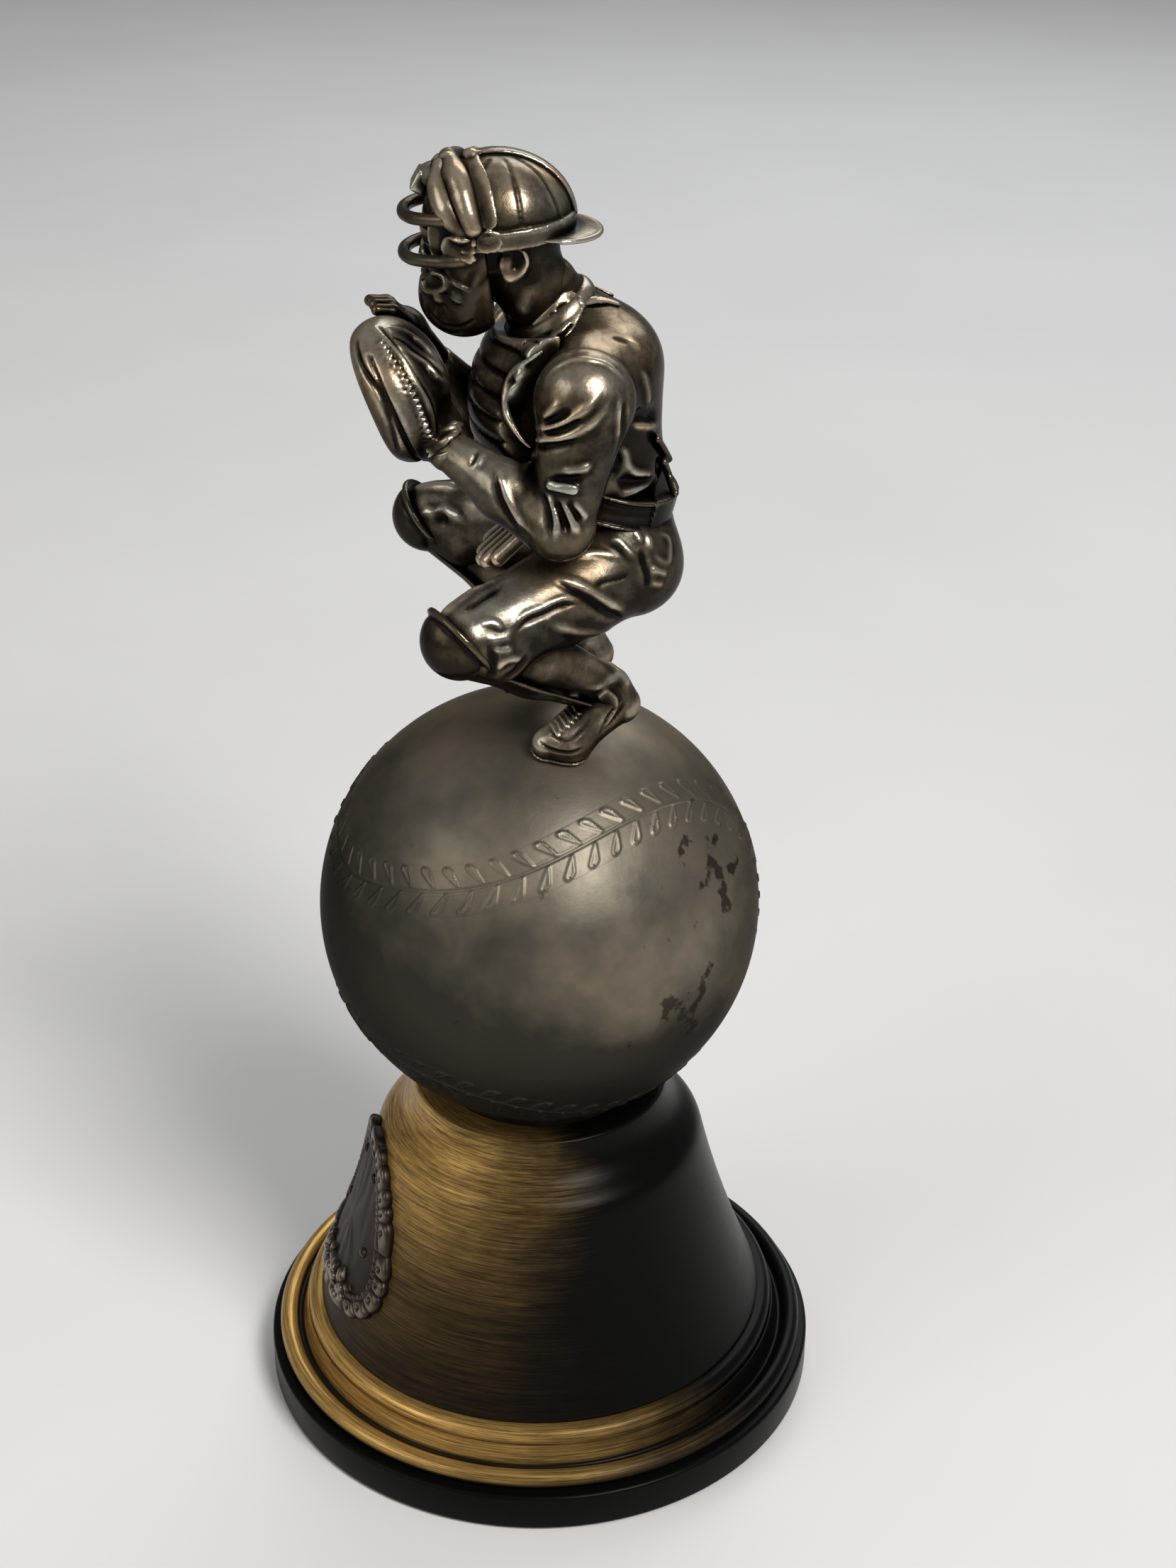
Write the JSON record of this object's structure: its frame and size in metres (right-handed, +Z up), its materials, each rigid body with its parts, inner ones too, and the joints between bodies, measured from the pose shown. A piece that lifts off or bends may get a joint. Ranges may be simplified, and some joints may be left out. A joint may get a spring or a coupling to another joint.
{
  "type": "baseball trophy",
  "caption": "Cast bronze catcher crouching on a large stitched baseball, on a turned wooden bell base with a blank cartouche plaque.",
  "frame": {"origin": "centre of the underside of the felt pad", "axes": "+Z up, -Y the way the figure faces and the plaque shows, +X the figure's left"},
  "size_m": [0.2, 0.2, 0.4502],
  "materials": {
    "bronze": "dark patina",
    "ball_bronze": "dark patina",
    "plaque_bronze": "dull patina",
    "black_wood": "satin black paint",
    "gilt_wood": "rubbed gold-brown over black",
    "felt": "felt",
    "steel": "plain"
  },
  "bodies": {
    "root": {"felt_pad": "felt", "base_foot": "black_wood", "base_bell": "gilt_wood", "plaque": "plaque_bronze", "plaque_pins": "plaque_bronze", "seat_collar": "bronze", "tie_rod": "steel", "rod_washers": "steel", "rod_nuts": "steel", "ball_lower_shell": "ball_bronze", "ball_upper_shell": "ball_bronze", "foot_studs": "steel", "foot_washers": "steel", "foot_nuts": "steel", "left_shoe": "bronze", "right_shoe": "bronze", "left_calf": "bronze", "right_calf": "bronze", "left_thigh": "bronze", "right_thigh": "bronze", "left_knee_cap": "bronze", "right_knee_cap": "bronze", "left_shin_guard": "bronze", "right_shin_guard": "bronze", "trouser_seat": "bronze", "belt": "bronze", "jersey": "bronze", "collar": "bronze", "left_sleeve": "bronze", "right_sleeve": "bronze", "left_forearm": "bronze", "right_forearm": "bronze", "right_hand": "bronze", "mitt": "bronze", "head": "bronze", "cap_crown": "bronze", "cap_brim": "bronze", "mask_pads": "bronze", "mask_plate": "bronze", "mask_cage": "bronze", "mask_chin_guard": "bronze", "mask_strap": "bronze", "chest_protector": "bronze", "protector_straps": "bronze"}
  },
  "joints": []
}
